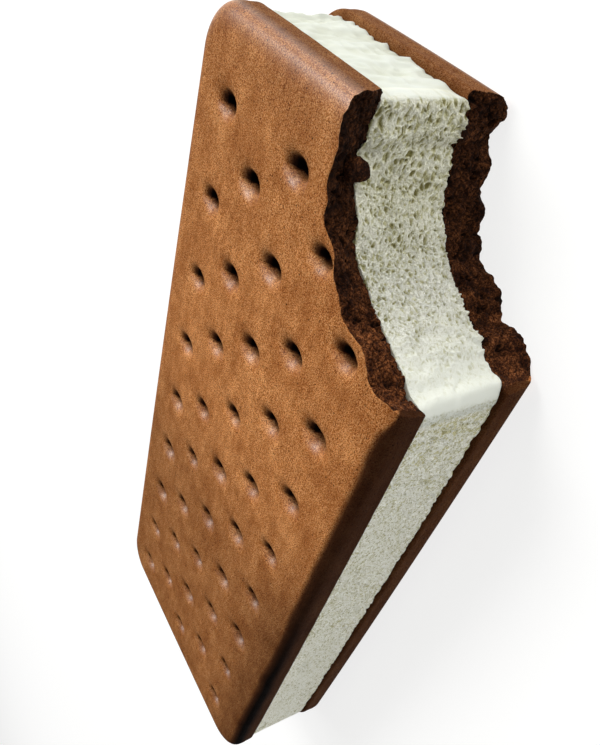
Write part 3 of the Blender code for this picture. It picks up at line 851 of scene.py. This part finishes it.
def makeIceCream(name, finishes):
    # rings up the side, each inset by its own melt, ridges and pits
    endInset, sideInset = iceCream["inset"]
    x, y, outX, outY = roundedRing(sandwich["length"] - 2 * endInset, sandwich["width"] - 2 * sideInset,
                                   sandwich["corner"] - sideInset, iceCream["cell"])
    x, y = bowed(x, y)
    columns = len(x)
    low, high = sandwich["fillingLow"], sandwich["fillingHigh"]
    tall = high - low
    steps = np.linspace(0, tall, int(tall / iceCream["cell"]) + 1)
    close = np.array([0.04, 0.12, 0.24])
    heights = np.unique(np.concatenate([steps, close, tall - close]))
    rows = len(heights)
    ringX, ringY = np.tile(x, rows), np.tile(y, rows)
    nX, nY = np.tile(outX, rows), np.tile(outY, rows)
    h = np.repeat(heights, columns)
    p = np.column_stack([ringX, ringY, h])
    # both edges are melted round, the lower one in small teeth and a few wider notches
    notch = 1 - np.clip(2.2 * abs(softNoise(p * [1, 1, 0], 3.4, 81)), 0, 1)
    teeth = 1 - np.clip(2.2 * abs(softNoise(p * [1, 1, 0], 0.9, 83)), 0, 1)
    ends = smoothStep(0.4, 0.9, abs(nX))
    melt = iceCream["lowMelt"] * (0.5 + 0.7 * notch ** 2 * (1 - 0.6 * ends) + 0.9 * teeth * (1 - 0.3 * ends))
    lowRound = melt * (1 - np.sqrt(1 - np.clip((melt - h) / melt, 0, 1) ** 2))
    share = np.clip(1 - (tall - h) / iceCream["highMelt"], 0, 1)
    highRound = iceCream["highMelt"] * (1 - np.sqrt(1 - share ** 2))
    # the short ends are smeared in soft ridges, the long sides are cut and finely pitted
    waves = 0.5 + 0.5 * layeredNoise(p, 6.0, 3, 95)
    pits = sidePits(p) * (1 - ends)
    inset = lowRound + highRound + 0.6 * (1 - endRidges(p)) * ends + 0.2 * waves + 0.4 * pits
    side = np.column_stack([ringX - nX * inset, ringY - nY * inset, low + h])
    # close the top and the underside with a few rings and one flat face
    lowNear, lowFar, topNear, topFar = [np.column_stack([
        rim[:, 0] - outX * iceCream["cover"] * reach, rim[:, 1] - outY * iceCream["cover"] * reach,
        np.full(columns, level)]) for rim, level in ((side[:columns], low), (side[-columns:], high))
        for reach in (0.3, 1.0)]
    points = np.vstack([lowFar, lowNear, side, topNear, topFar])
    total = rows + 4
    faces = gridQuads(total, columns, True).tolist()
    faces.append(list(range(columns))[::-1])
    faces.append(list(range((total - 1) * columns, total * columns)))
    return makePiece(name, points, faces, finishes)


def finishIceCream(piece):
    # rounds off the lips, then says how rough each place is, how deep it lies, and where it was cut;
    # how deep it lies also darkens its colour as painted shade
    p = pointsOf(piece)
    degrees, away = biteAngles(p[:, 0], p[:, 1])
    wall, x, y, lips = iceBase(degrees, p[:, 2])
    bubbles, dimples, rough = iceTexture(degrees, p[:, 2])
    nearWall = smoothStep(3.6, 2.6, away - wall) * smoothStep(120, 110, abs(degrees))
    nearSide = np.maximum(smoothStep(-24.85, -25.45, p[:, 1]), smoothStep(58.6, 59.0, p[:, 0]))
    soften(piece, 0.5 * nearWall * nearSide, 24)
    onWall = smoothStep(2.4, 1.7, away - wall) * smoothStep(120, 110, abs(degrees))
    longSide = smoothStep(sandwich["width"] / 2 - 2.6, sandwich["width"] / 2 - 1.2, abs(p[:, 1]))
    longSide = longSide * smoothStep(sandwich["length"] / 2 - 1, sandwich["length"] / 2 - 5, abs(p[:, 0]))
    cut = longSide * smoothStep(0.4, 2.6, away - wall)
    # painted shade: pits olive, the upper bite wall, which faces away from the lamps, darker, opened bubbles
    # of the cut sides dark, and the troughs between the ridges of the ends darker
    deeper = smoothStep(35, 65, degrees)
    pits = smoothStep(0.22, 1.0 - 0.15 * deeper, 0.85 * bubbles + 0.4 * dimples)
    pits = (pits + 0.17 * deeper) * onWall * lips * rough
    q = p - [0, 0, sandwich["fillingLow"]]
    ends = smoothStep(58.0, 58.8, abs(p[:, 0])) * (1 - onWall)
    nearBite = smoothStep(16.0, 2.0, away - wall) * cut
    opened = (0.5 * cut + 0.5 * nearBite) * sidePits(q)
    setAttribute(piece, "hollow", np.clip(0.95 * pits + opened + 0.18 * (1 - endRidges(q)) * ends, 0, 1))
    setAttribute(piece, "rough", np.maximum(onWall * lips * rough, nearBite))
    setAttribute(piece, "cut", cut)
    smooth = onWall * (1 - lips * smoothStep(0, 40, degrees)) * (0.75 + 0.25 * smoothStep(0, 40, degrees))
    setAttribute(piece, "smeared", np.maximum(ends, smooth))


# a crumb of the top wafer, torn loose over the ice cream
looseCrumb = dict(
    degrees=68.8, radius=25.8, z=17.3,
    halfSizes=(1.2, 0.85, 1.4),         # along the bite, out of its wall, and up
    facets=14, squareness=7,            # flat places, and how sharply they meet
)


def makeLooseCrumb(name, finishes):
    # a chipped lump: a direction on the sphere, pushed out until the powers of its parts along a few
    # scattered directions add to 1
    columns, rows = 64, 34
    v, u = np.meshgrid(np.linspace(-0.49, 0.49, rows) * math.pi, np.linspace(0, 2 * math.pi, columns, False),
                       indexing="ij")
    way = np.stack([np.cos(v) * np.cos(u), np.cos(v) * np.sin(u), np.sin(v)], axis=-1).reshape(-1, 3)
    power = looseCrumb["squareness"]
    facing = np.random.default_rng(5).normal(size=(looseCrumb["facets"], 3))
    facing = facing / np.linalg.norm(facing, axis=1)[:, None]
    reach = np.minimum((np.clip(way @ facing.T, 0, 1) ** power).sum(axis=1) ** (-1 / power), 1.2)
    body = way * reach[:, None]
    pores = smoothStep(0.5, 0.1, cellNoise(body, 0.6, 107)[0])
    lumps = 1 + 0.2 * layeredNoise(body, 0.7, 3, 101) - 0.14 * pores
    body = body * lumps[:, None] * looseCrumb["halfSizes"]
    turn = math.radians(looseCrumb["degrees"])
    alongX, alongY = math.sin(turn), math.cos(turn)              # towards growing angles
    outX, outY = math.cos(turn), -math.sin(turn)                 # into the bite
    centreX, centreY = bitePlace(looseCrumb["degrees"], looseCrumb["radius"])
    points = np.column_stack([centreX + body[:, 0] * alongX + body[:, 1] * outX,
                              centreY + body[:, 0] * alongY + body[:, 1] * outY,
                              looseCrumb["z"] + body[:, 2]])
    faces = gridQuads(rows, columns, True)[:, ::-1].tolist()
    faces.append(list(range(columns)))
    faces.append(list(range((rows - 1) * columns, rows * columns))[::-1])
    piece = makePiece(name, points, faces, finishes)
    # painted shade in its pores; the whole lump is at least 0.7 of the way to almost black
    setAttribute(piece, "hollow", np.maximum(pores, 0.7))
    return piece


print("materials")
crust, crumb, vanilla = bakedCrust(), tornCrumb(), frozenVanilla()

print("top wafer")
low, high = sandwich["fillingHigh"], sandwich["fillingHigh"] + sandwich["wafer"]
topWafer = waferShell("topWaferBaked", True, 3, [crust, crumb])
bitten(topWafer, biteCutter("topBite", low, high, wafer["wallCell"], topWall, [crust, crumb], topCrustAt))
finishWafer(topWafer, True, topBase, 11)
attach(topWafer, "root")
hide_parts("top_wafer")

print("bottom wafer")
low, high = sandwich["fillingLow"] - sandwich["wafer"], sandwich["fillingLow"]
bottomWafer = waferShell("bottomWaferBaked", False, 4, [crust, crumb])
bitten(bottomWafer, biteCutter("bottomBite", low, high, wafer["wallCell"], bottomWall, [crust, crumb],
                               bottomCrustAt))
finishWafer(bottomWafer, False, bottomBase, 31)
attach(bottomWafer, "root")
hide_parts("bottom_wafer")

print("ice cream")
iceSlab = makeIceCream("iceCreamSlab", [vanilla, vanilla])
low, high = sandwich["fillingLow"], sandwich["fillingHigh"]
bitten(iceSlab, biteCutter("slabBite", low, high, iceCream["wallCell"], iceWall, [vanilla, vanilla]))
finishIceCream(iceSlab)
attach(iceSlab, "root")
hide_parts("ice_cream")

print("loose crumb")
tornCrumbPiece = makeLooseCrumb("looseCrumb", [crumb])
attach(tornCrumbPiece, "root")


studio = dict(
    floorSize=6.0, floorGlow=0.78, floor="#888886",
    cameraAt=(80.94, -57.04, 64.58), cameraAim=(-0.51, 7.60, 10.8), cameraRoll=-103.93,
    lens=32.74, sensor=36.0, shift=(0.0609, 0.0685),
    keyFrom=(0.44, 0.56, 0.70), keyDistance=1.6, keySize=0.8, keyPower=18.0,
    glintFrom=(0.797, 0.553, 0.235), glintDistance=1.6, glintSize=0.7, glintPower=9.0,
    sheenFrom=(0.0, 0.6, 0.8), sheenDistance=1.6, sheenSize=1.3, sheenPower=9.0,
    frontFrom=(0.93, -0.3, 0.2), frontDistance=1.6, frontSize=0.5, frontPower=7.0,
    fillFrom=(0.2, -0.95, 0.1), fillDistance=1.6, fillSize=1.0, fillPower=4.4,
    world="#ffffff", worldStrength=0.15,
)


def areaLight(name, direction, distance, size, power):
    # a round soft light along a direction from the origin, turned to face it
    data = bpy.data.lights.new(name, "AREA")
    data.shape = "DISK"
    data.size = size
    data.energy = power
    light = bpy.data.objects.new(name, data)
    bpy.context.scene.collection.objects.link(light)
    way = Vector(direction).normalized()
    light.location = way * distance
    light.rotation_euler = way.to_track_quat("Z", "Y").to_euler()
    return light


def makeStudio():
    half = studio["floorSize"] / 2 / mm
    corners = np.array([(-half, -half, 0), (half, -half, 0), (half, half, 0), (-half, half, 0)])
    paper, tree, shader = newMaterial("white studio paper")
    shader.inputs["Base Color"].default_value = linear(studio["floor"])
    shader.inputs["Roughness"].default_value = 0.8
    shader.inputs["Emission Color"].default_value = linear("#ffffff")
    shader.inputs["Emission Strength"].default_value = studio["floorGlow"]
    floor = makePiece("floor", corners, [(0, 1, 2, 3)], [paper])
    world = bpy.data.worlds.new("studio")
    bpy.context.scene.world = world
    world.use_nodes = True
    back = world.node_tree.nodes["Background"]
    back.inputs["Color"].default_value = linear(studio["world"])
    back.inputs["Strength"].default_value = studio["worldStrength"]
    for name in ("key", "glint", "sheen", "front", "fill"):
        areaLight(name, *[studio[name + part] for part in ("From", "Distance", "Size", "Power")])
    bpy.context.scene.view_settings.view_transform = "Standard"


def makeCamera():
    data = bpy.data.cameras.new("camera")
    data.lens = studio["lens"]
    data.sensor_width = studio["sensor"]
    data.shift_x, data.shift_y = studio["shift"]
    data.clip_start = 0.005
    camera = bpy.data.objects.new("camera", data)
    bpy.context.scene.collection.objects.link(camera)
    place, aim = Vector(studio["cameraAt"]) * mm, Vector(studio["cameraAim"]) * mm
    turn = (aim - place).to_track_quat("-Z", "Y").to_matrix().to_4x4()
    camera.matrix_world = Matrix.Translation(place) @ turn @ Matrix.Rotation(
        math.radians(studio["cameraRoll"]), 4, "Z")
    bpy.context.scene.camera = camera


print("studio")
makeStudio()
makeCamera()
